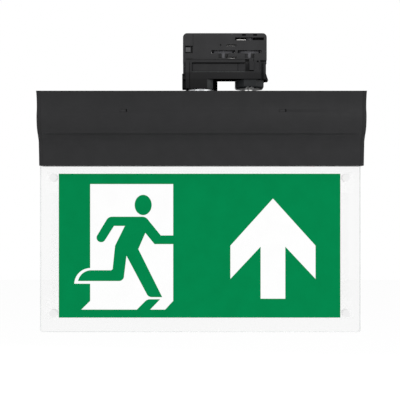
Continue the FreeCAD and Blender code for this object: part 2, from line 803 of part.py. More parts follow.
def make_clamp():
    """An aluminium channel over the blade's tongue. It sits on the housing's floor by two feet."""
    span = (f"blade_shift - {TONGUE_HALF}", f"blade_shift + {TONGUE_HALF}")
    channel = block("ClampChannel", span, (f"-{CLAMP_HALF}", CLAMP_HALF), (FLOOR, f"{CLAMP_ROOF} + clamp_wall"))
    feet = block("ClampFeet", span, ("wall + slip - hem_half", "hem_half - wall - slip"),
                 (FLOOR, f"{FLOOR} + clamp_flange"))
    tools = [block("ClampRoom", span, (f"-{BLADE_HALF} - slip", f"{BLADE_HALF} + slip"), (FLOOR, CLAMP_ROOF)),
             block("IndicatorGap", (f"{INDICATOR} - 3 * indicator_radius", f"{BUTTON} + 3 * button_radius"),
                   (CLAMP_HALF, "hem_half"), (FLOOR, f"{FLOOR} + clamp_flange")),
             rod("ClampLeadHole", "lead_radius + slip", (CLAMP_ROOF, f"{CLAMP_ROOF} + clamp_wall"),
                 (LAMP_LEAD, "0"))]
    for index, step in enumerate(PIN_STEPS):
        tools.append(rod(f"ClampPinHole{index}", "pin_radius + fit_play", (f"-{CLAMP_HALF}", CLAMP_HALF),
                         (f"blade_shift + {step}", f"{HEM} + blade_tongue / 2"), "Y"))
    screws = []
    for index, across in enumerate(LIP_SCREWS):
        for side, sign in (("Rear", "1"), ("Front", "-1")):
            centre = (across, f"{sign} * {LIP}")
            tools.append(rod(f"ClampHole{side}{index}", "lip_screw_radius + fit_play",
                             (FLOOR, f"{FLOOR} + clamp_flange"), centre))
            head = taper(f"LipHead{side}{index}", "lip_screw_head", "lip_screw_radius",
                         (HEM, f"{HEM} + lip_screw_head - lip_screw_radius"), centre)
            shank = rod(f"LipShank{side}{index}", "lip_screw_radius", (HEM, f"{HEM} + lip_screw_length"),
                        centre)
            drive = block(f"LipDrive{side}{index}",
                          (f"{across} - lip_screw_radius", f"{across} + lip_screw_radius"),
                          (f"{sign} * {LIP} - recess_width / 4", f"{sign} * {LIP} + recess_width / 4"),
                          (HEM, f"{HEM} + recess_width / 2"))
            screws.append(cut(f"LipScrew{side}{index}", fuse(f"LipBlank{side}{index}", [head, shank]), [drive]))
    node(cut("BladeClamp", fuse("ClampBlank", [channel, feet]), tools), "blade_clamp")
    node(group("ClampScrews", screws), "clamp_screws")
    pins = [rod(f"BladePin{index}", "pin_radius", (f"-{CLAMP_HALF}", CLAMP_HALF),
                (f"blade_shift + {step}", f"{HEM} + blade_tongue / 2"), "Y")
            for index, step in enumerate(PIN_STEPS)]
    node(group("BladePins", pins), "blade_pins")


def make_lamps():
    """A strip of lamps in the clamp's roof, shining down into the blade's top edge."""
    span = (f"blade_shift - {TONGUE_HALF} + slip", f"blade_shift + {TONGUE_HALF} - slip")
    board_low = f"{CLAMP_ROOF} - board_thickness"
    node(block("LampBoard", span, (f"-{BLADE_HALF}", BLADE_HALF), (board_low, CLAMP_ROOF)), "lamp_board")
    low = f"{board_low} - lamp_thickness"
    lamps = []
    count = int(number(f"2 * ({TONGUE_HALF} - slip) / lamp_pitch"))
    for index in range(count):
        across = f"blade_shift + {index - (count - 1) / 2} * lamp_pitch"
        lamps.append(block(f"Lamp{index}", (f"{across} - lamp_length / 2", f"{across} + lamp_length / 2"),
                           ("-lamp_width / 2", "lamp_width / 2"), (low, f"{low} + lamp_thickness")))
    node(group("Lamps", lamps), "lamps")


# ---------------------------------------------------------------------------------------------
# Legends
# ---------------------------------------------------------------------------------------------

# The pictogram is drawn on a grid this high, from the legend's lower left corner. All the
# numbers in its outlines are places on that grid.
GRID_HEIGHT = 153.3
ARROW_FROM_RIGHT = 71.8


def ring(start, *steps):
    """A closed wire of lines and arcs in the grid. A pair of points is an arc through the first."""
    edges = []
    here = Vector(*start)
    for step in steps + (start,):
        if isinstance(step[0], tuple):
            middle, there = Vector(*step[0]), Vector(*step[1])
            edges.append(Part.Arc(here, middle, there).toShape())
        else:
            there = Vector(*step)
            if (there - here).Length < 0.001:
                continue
            edges.append(Part.LineSegment(here, there).toShape())
        here = there
    return Part.Face(Part.Wire(edges))


def runner():
    """The figure: a body in one running stride, and a head."""
    figure = ring((56.5, 107.5), (89.8, 107.5), ((93, 106.3), (95.6, 103.6)), (108.7, 87.5), (121.9, 87.5),
                  (121.9, 78.3), (102, 78.3), (92.2, 90.3), (84.7, 73), (110.2, 21.8), (98.8, 21.8),
                  ((95.9, 22.7), (93.6, 25.4)), (72.1, 66), (69.5, 44.6), ((68, 40.6), (64.4, 39)),
                  (20.5, 39), ((25.1, 46.9), (33.4, 50.4)), (54.8, 50.4), ((56.8, 51.1), (57.5, 53)),
                  (60, 76.7), (70.4, 97.7), (58.8, 97.7), (49.3, 82.7), ((44.4, 80.4), (40.6, 87.1)),
                  (50.7, 103.8), ((53.2, 106.5), (56.5, 107.5)))
    crown = Part.Ellipse(Vector(89.9, 109.2), Vector(98.95, 120), Vector(89.9, 120))
    return figure, Part.Face(Part.Wire([crown.toShape()]))


def doorway():
    """The white doorway behind the figure, cut back round the trailing foot and its shadow."""
    return ring((33.4, 142.3), (121.9, 142.3), (121.9, 17.8), (113.3, 8.5), (97.3, 8.5), (107.9, 19.5),
                (97.4, 19.5), ((94.2, 18.9), (91.6, 17)), (83.2, 8.5), (23.9, 8.5), (33.4, 17.8), (33.4, 36.1),
                (16.4, 36.1), ((22.2, 48.4), (33.4, 52.8)))


def arrow(centre):
    """An upright arrow with square-cut barbs."""
    head, shaft = 45.4, 13.2
    return ring((centre, 126.9), (centre + head, 76.7), (centre + head, 41.2), (centre + shaft, 75.5),
                (centre + shaft, 20.1), (centre - shaft, 20.1), (centre - shaft, 75.5), (centre - head, 41.2),
                (centre - head, 76.7))


def print_shape():
    """The green print of one legend in its own plane: the field with the doorway and the arrow
    left out of it, and the figure standing in the doorway."""
    width, height = number(LABEL_WIDTH), number("label_height")
    scale = height / GRID_HEIGHT
    field = Part.makePlane(width / scale, GRID_HEIGHT)
    figure, head = runner()
    white = doorway().fuse(arrow(width / scale - ARROW_FROM_RIGHT))
    green = field.cut(white.removeSplitter()).fuse([figure, head]).removeSplitter()
    solid = green.extrude(Vector(0, 0, number("film_thickness") / scale))
    solid.scale(scale)
    return solid


def make_legend(side, sign):
    """One side's legend: a clear sheet riveted to the blade, a white film on it and the green
    print on that. The rear one faces the other way."""
    face = f"{sign} * ({BLADE_HALF})"
    sheet_face = f"{sign} * ({BLADE_HALF} + sheet_thickness)"
    film_face = f"{sign} * ({BLADE_HALF} + sheet_thickness + film_thickness)"

    owner = body(f"{side}Sheet")
    outline_sketch = sketch(owner, f"{side}SheetOutline", "XZ_Plane",
                            f"{BLADE_HALF}" if sign == "-1" else f"-{BLADE_HALF} - sheet_thickness")
    reach, ear = f"({LABEL_WIDTH} / 2 + sheet_margin)", f"({LABEL_WIDTH} / 2 + ear_margin)"
    low = f"({LABEL_MIDDLE} - label_height / 2 - sheet_overlap)"
    high = f"({LABEL_MIDDLE} + label_height / 2 + sheet_overlap)"
    ear_low, ear_high = f"{low} + ear_height", f"{high} - ear_height"
    outline(outline_sketch, (f"{LABEL_CENTRE} - {ear}", low), [
        [(f"{LABEL_CENTRE} + {ear}", low)], [(f"{LABEL_CENTRE} + {ear}", ear_low)],
        [(f"{LABEL_CENTRE} + {reach}", ear_low)], [(f"{LABEL_CENTRE} + {reach}", ear_high)],
        [(f"{LABEL_CENTRE} + {ear}", ear_high)], [(f"{LABEL_CENTRE} + {ear}", high)],
        [(f"{LABEL_CENTRE} - {ear}", high)], [(f"{LABEL_CENTRE} - {ear}", ear_high)],
        [(f"{LABEL_CENTRE} - {reach}", ear_high)], [(f"{LABEL_CENTRE} - {reach}", ear_low)],
        [(f"{LABEL_CENTRE} - {ear}", ear_low)], [(f"{LABEL_CENTRE} - {ear}", low)]])
    for across, level in rivet_places():
        circle(outline_sketch, (across, level), "rivet_radius + fit_play")
    pad(owner, f"{side}SheetPlate", outline_sketch, "sheet_thickness")
    node(owner, f"{side.lower()}_legend_sheet")

    near, far = (film_face, sheet_face) if sign == "-1" else (sheet_face, film_face)
    film = block(f"{side}Film", (f"{LABEL_CENTRE} - {LABEL_WIDTH} / 2", f"{LABEL_CENTRE} + {LABEL_WIDTH} / 2"),
                 (near, far), (f"{LABEL_TOP} - label_height", LABEL_TOP))
    node(film, f"{side.lower()}_white_film")

    ink = doc.addObject("Part::Feature", f"{side}Print")
    ink.Shape = print_shape()
    corner_side = "-1" if sign == "-1" else "1"
    corner = Vector(number(f"{LABEL_CENTRE} + {corner_side} * {LABEL_WIDTH} / 2"), number(film_face),
                    number(f"{LABEL_TOP} - label_height"))
    upright = Rotation(Vector(1, 0, 0), 90)
    about = Rotation(Vector(0, 0, 1), 0 if sign == "-1" else 180)
    ink.Placement = Placement(corner, about.multiply(upright))
    node(ink, f"{side.lower()}_green_print")


def make_rivets():
    """Clear rivets from the front, each with a cap on its rear end."""
    plane = f"({BLADE_HALF} + sheet_thickness)"
    rivets = []
    caps = []
    for index, centre in enumerate(rivet_places()):
        shank = rod(f"RivetShank{index}", "rivet_radius", (f"-{plane}", f"{plane} + rivet_head_height / 2"),
                    centre, "Y")
        head = taper(f"RivetHead{index}", "rivet_head_radius - rivet_head_height / 2", "rivet_head_radius",
                     (f"-{plane} - rivet_head_height", f"-{plane}"), centre, "Y")
        rivets.append(fuse(f"Rivet{index}", [shank, head]))
        disc = taper(f"RivetCapDisc{index}", "rivet_head_radius", "rivet_head_radius - rivet_head_height / 2",
                     (plane, f"{plane} + rivet_head_height"), centre, "Y")
        hole = rod(f"RivetCapHole{index}", "rivet_radius + fit_play",
                   (plane, f"{plane} + rivet_head_height / 2"), centre, "Y")
        caps.append(cut(f"RivetCap{index}", disc, [hole]))
    node(group("LegendRivets", rivets), "legend_rivets")
    node(group("RivetCaps", caps), "rivet_caps")


# ---------------------------------------------------------------------------------------------
# Test button and status lamp
# ---------------------------------------------------------------------------------------------

def make_test_switch():
    """A sprung button in the hem, a switch above it on a small board that is fixed to the
    clamp's rear wall, and a status lamp beside it."""
    flange_top = f"({FLOOR} + play + wall / 2)"
    stem_top = f"({flange_top} + 2 * wall)"
    plunger_top = f"({stem_top} + wall)"
    switch_low = f"({stem_top} + button_travel + play)"
    button = fuse("TestButton", [
        rod("ButtonCap", "button_radius", (f"{HEM} - button_proud", f"{FLOOR} + play"), (BUTTON, LIP)),
        rod("ButtonFlange", "button_flange", (f"{FLOOR} + fit_play", flange_top), (BUTTON, LIP)),
        rod("ButtonStem", "plunger_radius", (f"{FLOOR} + play", stem_top), (BUTTON, LIP))])
    node(button, "test_button")
    node(rod("SwitchPlunger", "plunger_radius", (stem_top, f"{plunger_top} + wall"), (BUTTON, LIP)),
         "switch_plunger")

    wall_face = f"({CLAMP_HALF} + board_thickness / 2)"
    case = block("SwitchCase", (f"{BUTTON} - switch_size / 2", f"{BUTTON} + switch_size / 2"),
                 (wall_face, f"{wall_face} + switch_size"), (switch_low, f"{switch_low} + switch_size"))
    well = rod("SwitchWell", "plunger_radius + fit_play",
               (switch_low, f"{switch_low} + switch_size - wall / 2"), (BUTTON, LIP))
    node(cut("TestSwitch", case, [well]), "test_switch")
    board_span = (f"{flange_top} + button_travel + play", f"{switch_low} + switch_size")
    node(block("IndicatorBoard", (f"{INDICATOR} - switch_size", f"{BUTTON} + switch_size"),
               (CLAMP_HALF, wall_face), board_span), "indicator_board")
    lens = fuse("StatusLamp", [
        rod("LampLens", "indicator_radius", (f"{HEM} - button_proud / 2", f"{FLOOR} + play"),
            (INDICATOR, LIP)),
        block("LampCase", (f"{INDICATOR} - switch_size / 2", f"{INDICATOR} + switch_size / 2"),
              (wall_face, f"{wall_face} + switch_size"), (FLOOR, f"{FLOOR} + switch_size"))])
    node(lens, "status_lamp")


# ---------------------------------------------------------------------------------------------
# Track adapter
# ---------------------------------------------------------------------------------------------

LEFT_SCREW = ("-base_screw_left", "base_screw_back")
RIGHT_SCREW = ("selector_across + base_screw_right", "0")
BOSS_LOW = "(-base_height - boss_height)"
TOWER_FRONT = "(-tower_half)"
BASE_FRONT = "(-base_half)"
STEP_FRONT = "(step_depth - base_half)"
BAND_FRONT = "(band_depth - base_half)"
LEVER_FRONT = "(base_half - band_depth)"
LEVER_TAIL = "(base_half - wall)"
LEVER_SPAN = ("-band_low + play", "-band_top - lever_gap")
LEVER_ROOM = ("-band_low", "-band_top")
GAP_RIGHT = "(band_right + gap_width)"
POST_RIGHT = f"({GAP_RIGHT} + post_width)"
FLANK_RIGHT = f"({POST_RIGHT} + flank_width)"
HOLE_LEFT = f"({POST_RIGHT} + hole_step)"
CORNER_RIGHT = "(base_right - corner_step)"
CORNER_LEFT = f"({CORNER_RIGHT} - corner_width)"


def sunk(front, depth):
    """The span of a recess that goes back from a front face."""
    return front, f"{front} + {depth}"


def tower_windows():
    """Slots for the rotors' cams, stems and contacts. A slot is open only on the sides that
    its cam or contact swings out of."""
    through = ("-tower_half", "tower_half")
    tools = []
    for side, across in (("Selector", "selector_across"), ("Lock", "lock_across")):
        tools.append(rod(f"{side}Bore", "rotor_radius + play", ("-tower_foot", "tower_height - wall / 2"),
                         (across, "0")))
        tools.append(block(f"{side}CamSlot", (f"{across} - cam_reach - play", f"{across} + cam_reach + play"),
                           through, ("cam_level - cam_height / 2 - play", "cam_level + cam_height / 2 + play")))
        stem = (f"{across} - stem_half", f"{across} + stem_half")
        for face, depth in (("Front", ("-tower_half", "-rotor_radius")),
                            ("Rear", ("rotor_radius", "tower_half"))):
            tools.append(block(f"{side}Stem{face}", stem, depth, ("stem_level", "cam_level")))
    tools.append(block("PhaseSlot", ("selector_across - phase_end", "selector_across + phase_end"),
                       ("-tower_half", "contact_width / 2 + play"),
                       ("phase_level - contact_thickness", "phase_level + 2 * contact_thickness + play")))
    high = ("tower_height - contact_thickness - head_slot_height", "tower_height - contact_thickness")
    for side, left in (("Left", "selector_across - rotor_radius - head_slot_width + play"),
                       ("Right", "selector_across + rotor_radius - play")):
        tools.append(block(f"{side}HeadSlot", (left, f"{left} + head_slot_width"),
                           sunk(TOWER_FRONT, "head_slot_depth"), high))
    for name, level, reach, start in (("Neutral", "neutral_level", "neutral_reach", "neutral_start"),
                                      ("Earth", "earth_level", "earth_reach", "stem_half")):
        span = (f"{level} - play", f"{level} + contact_thickness + 2 * play")
        end = f"lock_across + {reach} + contact_end"
        tools.append(block(f"{name}Window", (f"lock_across + {start}", end), ("-tower_half", "0"), span))
        tools.append(block(f"{name}Room", ("lock_across - contact_width", end),
                           ("-contact_width", "tower_half"), span))
    tools.append(rod("PeepHole", "peep_radius", sunk(TOWER_FRONT, "wall"),
                     ("lock_across - peep_step", "neutral_level + contact_thickness"), "Y"))
    return tools


def make_tower():
    """The part that goes up into the track. Its foot lies in a groove of the base."""
    owner = body("Tower")
    face = sketch(owner, "TowerOutline", "XZ_Plane", "-tower_half")
    shallow = "tower_corner * (1 - sqrt(0.5))"
    outline(face, ("tower_left", "-tower_foot"), [
        [("tower_right", "-tower_foot")], [("tower_right", "tower_height - tower_corner")],
        [(f"tower_right - {shallow}", f"tower_height - {shallow}"),
         ("tower_right - tower_corner", "tower_height")],
        [("tower_left + tower_corner", "tower_height")],
        [(f"tower_left + {shallow}", f"tower_height - {shallow}"),
         ("tower_left", "tower_height - tower_corner")],
        [("tower_left", "-tower_foot")]])
    pad(owner, "TowerBlock", face, "2 * tower_half")
    doc.recompute()

    seam = "(tower_left + seam_step)"
    tab = ("(tower_left + tab_margin)", "(tower_left + tab_margin + tab_width)")
    tab_top = "(tab_level + tab_height)"
    line = sunk(TOWER_FRONT, "line_depth")
    fine = sunk(TOWER_FRONT, "slot_depth / 2")
    tools = tower_windows() + [
        block("EndSeam", (seam, f"{seam} + line_width"), line, (tab_top, "tower_height")),
        block("LongSeam", (f"{seam} + line_width", "band_right"), line,
              ("seam_level", "seam_level + line_width")),
        block("TabWindow", (f"{tab[0]} - line_width", seam), sunk(TOWER_FRONT, "slot_depth"),
              ("tab_level - tab_gap", f"{tab_top} + tab_gap")),
        block("TabSlit", (tab[0], seam), fine, ("slit_level", "slit_level + line_width")),
        block("CatchGroove", ("band_right", GAP_RIGHT), sunk(TOWER_FRONT, "slot_depth - line_depth"),
              ("-tower_foot", "gap_rise")),
        block("PostEdge", (POST_RIGHT, f"{POST_RIGHT} + line_width"), fine, ("-tower_foot", "post_rise")),
        block("SideHole", (HOLE_LEFT, f"{HOLE_LEFT} + hole_width"), sunk(TOWER_FRONT, "slot_depth"),
              ("-tower_foot", "hole_rise")),
        block("CornerHole", (CORNER_LEFT, "tower_right"), sunk(TOWER_FRONT, "slot_depth"),
              ("-tower_foot", "corner_rise")),
    ]
    for name, centre in (("Left", LEFT_SCREW), ("Right", RIGHT_SCREW)):
        tools.append(rod(f"TowerScrewHole{name}", "screw_radius + fit_play",
                         ("-tower_foot", "screw_length / 2"), centre))
    node(cut("AdapterTower", owner, tools), "adapter_tower")

    plate_back = f"{TOWER_FRONT} + tab_gap + tab_thickness"
    plate = block("TabPlate", tab, (f"{TOWER_FRONT} + tab_gap", plate_back), ("tab_level", tab_top))
    stalk = block("TabStalk", (f"{tab[0]} + tab_gap", f"{tab[1]} - tab_gap"),
                  (plate_back, f"{TOWER_FRONT} + slot_depth"), ("tab_level + tab_gap", f"{tab_top} - tab_gap"))
    node(fuse("ContactTab", [plate, stalk]), "contact_tab")


def end_tab(side, steps):
    """A gripping tab at one end of the base, set back behind its front."""
    owner = body(f"{side}Tab")
    face = sketch(owner, f"{side}TabOutline", "XZ_Plane", STEP_FRONT)
    outline(face, steps[-1][0], steps)
    pad(owner, f"{side}TabPlate", face, "base_half")
    return owner


def base_blank():
    """The base before its pockets: block, boss, the cheek and the feet under it, and two tabs."""
    low = "-base_height"
    cheek_low = "(-base_height - cheek_drop)"
    left_inner, left_outer = "(base_left + tab_root)", "(base_left - left_tab_proud)"
    right_inner, right_outer = "(base_right - corner_step)", "(base_right + right_tab_flare)"
    foot_left = "(cheek_left + left_step)"
    heel_left = "(collar_radius + line_depth)"
    return [
        block("BaseBlock", ("base_left", "base_right"), ("-base_half", "base_half"), (low, "0")),
        rod("BaseBoss", "base_half", (BOSS_LOW, "0"), ("0", "0")),
        block("BaseCheek", ("cheek_left", "cheek_right"), ("-base_half", "0"), (cheek_low, "0")),
        block("CheekFoot", (foot_left, f"{foot_left} + foot_width"), ("-base_half", "foot_depth - base_half"),
              ("-base_height - foot_drop", low)),
        block("BossHeel", (heel_left, f"{heel_left} + heel_width"), ("-foot_depth", "foot_depth"),
              ("-base_height - heel_drop", low)),
        end_tab("Left", [[(left_inner, "-left_tab_low")], [(left_outer, "-left_tab_low")],
                         [(left_outer, "-left_tab_top")], [(left_inner, "-left_tab_top")]]),
        end_tab("Right", [[(right_inner, low)], [(right_outer, low)], [("base_right", "-base_height / 2")],
                          [("base_right", "-right_tab_top")], [(right_inner, "-right_tab_top")]]),
    ]


def lever_rooms():
    """Room for the lever at rest and on its way round, and a chamfer under the band it lies in."""
    tail = f"lock_across + {LEVER_TAIL} + play"
    corner = f"sqrt({LEVER_TAIL} * {LEVER_TAIL} + {LEVER_FRONT} * {LEVER_FRONT})"
    hub_left = "lock_across - hub_radius - wall"
    back = f"{LEVER_TAIL} + play"
    reach = "lock_across - lever_reach - 2 * play"
    owner = body("BandLip")
    face = sketch(owner, "BandLipOutline", "YZ_Plane", reach)
    outline(face, ("-base_half", "-band_low"), [
        [("-base_half", "-band_low - band_lip")], [("band_lip - base_half", "-band_low")],
        [("-base_half", "-band_low")]])
    pad(owner, "BandLipCut", face, f"band_right - ({reach})")
    disc = rod("TailDisc", f"{corner} + play", LEVER_ROOM, ("lock_across", "0"))
    limit = block("TailLimit", ("lock_across", f"lock_across + {corner} + play"), (BAND_FRONT, back),
                  LEVER_ROOM)
    return [
        owner,
        block("LeverBand", (reach, "band_right"), (BASE_FRONT, BAND_FRONT), LEVER_ROOM),
        block("BandShade", (tail, "band_right"), sunk(BAND_FRONT, "wall"),
              ("-band_top - lever_gap", "-band_top")),
        block("LeverSlot", (reach, "lock_across"), (BAND_FRONT, f"{BAND_FRONT} + lever_thickness + play"),
              LEVER_ROOM),
        block("LeverRoom", (hub_left, tail), (BAND_FRONT, back), LEVER_ROOM),
        overlap("TailRoom", disc, limit),
        block("WireRoom", ("-nipple_radius", hub_left), ("-nipple_bore", back), LEVER_ROOM),
    ]


def make_base():
    """The wide lower part of the adapter, with the lever's band in its front and the boss that
    the light hangs from."""
    low = "-base_height"
    groove_left = "(cheek_left + groove_margin)"
    post_low = "(-band_low + post_foot)"
    step = sunk(BASE_FRONT, "step_depth")
    deep = sunk(BASE_FRONT, "gap_depth")
    tools = lever_rooms() + [
        block("TowerGroove", ("tower_left", "tower_right"), ("-tower_half - slip", "tower_half + slip"),
              ("-tower_foot", "0")),
        rod("SelectorBearing", "rotor_radius + fit_play", (low, "0"), ("selector_across", "0")),
        rod("LockBearing", "rotor_radius + fit_play", ("-base_height + wall", "0"), ("lock_across", "0")),
        rod("NippleBore", "nipple_radius + fit_play", (BOSS_LOW, f"{BOSS_LOW} + nipple_engage"), ("0", "0")),
        rod("WireBore", "nipple_bore", (BOSS_LOW, "-band_low"), ("0", "0")),
        block("RearRelief", ("base_half", "selector_across - knob_radius + knob_round"),
              ("relief_start", "base_half"), (low, f"{low} + relief_height")),
        block("LeftStep", ("base_left", "cheek_left"), step, (low, "0")),
        block("LeftGroove", (groove_left, f"{groove_left} + groove_width"), sunk(BASE_FRONT, "wall / 2"),
              ("-base_height - cheek_drop", "0")),
        block("CatchGap", ("band_right", GAP_RIGHT), deep, ("-band_low", "0")),
        block("PostFoot", (GAP_RIGHT, POST_RIGHT), deep, ("-band_low", post_low)),
        block("PostFlank", (POST_RIGHT, FLANK_RIGHT), sunk(BASE_FRONT, "flank_depth"), ("-band_low", "0")),
        block("FlankHole", (HOLE_LEFT, f"{HOLE_LEFT} + hole_width"), deep, ("-hole_drop", "0")),
        block("CornerStep", (CORNER_RIGHT, "base_right"), step, (low, "0")),
        block("CornerGroove", (CORNER_LEFT, CORNER_RIGHT), sunk(BASE_FRONT, "corner_depth"), (low, "0")),
        rod("EndHole", "end_hole_radius", sunk(STEP_FRONT, "wall"),
            ("base_left + end_hole_inset", "-end_hole_drop"), "Y"),
    ]
    screws = []
    for name, centre, head_low in (("Left", LEFT_SCREW, BOSS_LOW), ("Right", RIGHT_SCREW, "(-base_height)")):
        head_top = f"{head_low} + screw_head_height"
        tools.append(rod(f"BaseScrewHole{name}", "screw_radius + fit_play", (head_low, "0"), centre))
        tools.append(rod(f"BaseScrewSeat{name}", "screw_head_radius + slip", (head_low, head_top), centre))
        shank = rod(f"AdapterShank{name}", "screw_radius", (head_low, "screw_length / 2"), centre)
        head = rod(f"AdapterHead{name}", "screw_head_radius", (head_low, head_top), centre)
        drive = block(f"AdapterDrive{name}", (f"{centre[0]} - screw_radius", f"{centre[0]} + screw_radius"),
                      (f"{centre[1]} - recess_width / 2", f"{centre[1]} + recess_width / 2"),
                      (head_low, f"{head_low} + recess_width"))
        screws.append(cut(f"AdapterScrew{name}", fuse(f"AdapterBlank{name}", [shank, head]), [drive]))
    blank = base_blank()
    doc.recompute()
    node(cut("AdapterBase", fuse("BaseBlank", blank), tools), "adapter_base")
    node(group("AdapterScrews", screws), "adapter_screws")


def make_nipple():
    """The hollow threaded tube that joins the adapter to the light, with its collar and nut."""
    nut_low = f"{TRAY} - nut_height"
    tube_span = (f"{nut_low} - wall", f"{BOSS_LOW} + nipple_engage")
    tube = rod("NippleTube", "nipple_radius", tube_span, ("0", "0"))
    hollow = rod("NippleHollow", "nipple_bore", tube_span, ("0", "0"))
    node(cut("MountingNipple", tube, [hollow]), "mounting_nipple")
    ring_blank = rod("CollarRing", "collar_radius", (TOP, BOSS_LOW), ("0", "0"))
    ring_bore = rod("CollarBore", "nipple_radius + slip", (TOP, BOSS_LOW), ("0", "0"))
    node(cut("NippleCollar", ring_blank, [ring_bore]), "nipple_collar")

    owner = body("NutBody")
    face = sketch(owner, "NutOutline", "XY_Plane", nut_low)
    corners = [(f"nut_radius * cos({60 * step})", f"nut_radius * sin({60 * step})") for step in range(6)]
    outline(face, corners[0], [[corner] for corner in corners[1:] + corners[:1]])
    circle(face, ("0", "0"), "nipple_radius + fit_play")
    pad(owner, "NutPlate", face, "nut_height")
    node(owner, "nipple_nut")


def make_rotor(side, across, low, high):
    """A rotor's shaft and its locking cam, the two pieces of one moulding."""
    shaft = rod(f"{side}Shaft", "rotor_radius", (low, high), (across, "0"))
    owner = body(f"{side}Cam")
    face = sketch(owner, f"{side}CamOutline", "XY_Plane", "cam_level - cam_height / 2")
    straight = "(cam_reach - cam_half)"
    outline(face, (f"{across} - {straight}", "-cam_half"), [
        [(f"{across} + {straight}", "-cam_half")],
        [(f"{across} + cam_reach", "0"), (f"{across} + {straight}", "cam_half")],
        [(f"{across} - {straight}", "cam_half")],
        [(f"{across} - cam_reach", "0"), (f"{across} - {straight}", "-cam_half")]])
    pad(owner, f"{side}CamPlate", face, "cam_height")
    doc.recompute()
    return [shaft, owner]


def contact(name, across, level, ends):
    """A contact finger through a rotor, or the slit that it sits in."""
    return block(name, tuple(f"{across} + {end}" for end in ends), ("-contact_width / 2", "contact_width / 2"),
                 (level, f"{level} + contact_thickness"))


def make_selector():
    """The rotor that picks the circuit, its contact, and the knob under the base that turns it."""
    high = "-base_height - play"
    finger = ("selector_across", "phase_level", ("-phase_reach", "0"))
    blank = make_rotor("Selector", "selector_across", f"{high} - knob_seat", "tower_height - wall / 2 - play")
    node(cut("SelectorRotor", fuse("SelectorBlank", blank), [contact("PhaseSlit", *finger)]), "selector_rotor")
    node(contact("PhaseContact", *finger), "phase_contact")

    owner = body("KnobBody")
    knob_low = f"({high} - knob_height)"
    face = sketch(owner, "KnobOutline", "XY_Plane", knob_low)
    corners = [(f"selector_across + knob_radius * cos({45 * step + 22.5})",
                f"knob_radius * sin({45 * step + 22.5})") for step in range(8)]
    outline(face, corners[0], [[corner] for corner in corners[1:] + corners[:1]])
    prism = pad(owner, "KnobPrism", face, "knob_height")
    doc.recompute()
    floor_level = number(knob_low)
    rim = [f"Edge{index + 1}" for index, edge in enumerate(prism.Shape.Edges)
           if abs(edge.BoundBox.ZMax - floor_level) < 0.001]
    rounding = owner.newObject("PartDesign::Fillet", "KnobRounding")
    rounding.Base = (prism, rim)
    bind(rounding, "Radius", "knob_round")
    seat = sketch(owner, "KnobSeat", "XY_Plane", f"{high} - knob_seat")
    circle(seat, ("selector_across", "0"), "rotor_radius")
    pocket(owner, "KnobSocket", seat, "knob_seat", reverse=True)
    doc.recompute()
    flutes = [rod(f"KnobFlute{side}", "flute_radius", ("-knob_radius", "knob_radius"),
                  (f"selector_across {side} flute_step", f"{knob_low} + flute_depth - flute_radius"), "Y")
              for side in "-+"]
    node(cut("SelectorKnob", owner, flutes), "selector_knob")


def make_lock():
    """The rotor that locks the adapter in the track, its contacts, and the lever that turns it."""
    fingers = {"Neutral": ("lock_across", "neutral_level", ("0", "neutral_reach")),
               "Earth": ("lock_across", "earth_level", ("0", "earth_reach"))}
    blank = make_rotor("Lock", "lock_across", "-base_height + wall + play",
                       "neutral_level + 4 * contact_thickness")
    slits = [contact(f"{name}Slit", *finger) for name, finger in fingers.items()]
    node(cut("LockRotor", fuse("LockBlank", blank), slits), "lock_rotor")
    for name, finger in fingers.items():
        node(contact(f"{name}Contact", *finger), f"{name.lower()}_contact")

    arm = block("LeverArm", ("lock_across - lever_reach", f"lock_across + {LEVER_TAIL}"),
                (f"-{LEVER_FRONT}", f"lever_thickness - {LEVER_FRONT}"), LEVER_SPAN)
    neck = block("LeverNeck", ("lock_across - hub_radius", "lock_across + hub_radius"),
                 (f"lever_thickness - {LEVER_FRONT}", "0"), LEVER_SPAN)
    hub = rod("LeverHub", "hub_radius", LEVER_SPAN, ("lock_across", "0"))
    hole = rod("LeverHole", "rotor_radius", LEVER_SPAN, ("lock_across", "0"))
    node(cut("LockLever", fuse("LeverBlank", [arm, neck, hub]), [hole]), "lock_lever")


# ---------------------------------------------------------------------------------------------
# Build, check and write
# ---------------------------------------------------------------------------------------------

make_housing()
make_cap("Left", "-1")
make_cap("Right", "1")
make_tray()
make_driver()
make_battery()
make_terminals()
make_leads()
make_blade()
make_clamp()
make_lamps()
make_legend("Front", "-1")
make_legend("Rear", "1")
make_rivets()
make_test_switch()
make_tower()
make_base()
make_nipple()
make_selector()
make_lock()
doc.recompute()

for item in doc.Objects:
    if "Invalid" in item.State or "Error" in item.State:
        raise RuntimeError(f"{item.Name} did not build: {item.State}")
for item in nodes:
    if item.Shape.isNull() or not item.Shape.isValid() or not item.Shape.Solids:
        raise RuntimeError(f"{item.Label} has no sound solid")

os.makedirs("parts", exist_ok=True)
for item in nodes:
    item.Shape.exportStep(f"parts/{item.Label}.step")
    print(item.Label, len(item.Shape.Solids), round(item.Shape.Volume, 1))
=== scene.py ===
import json
import math

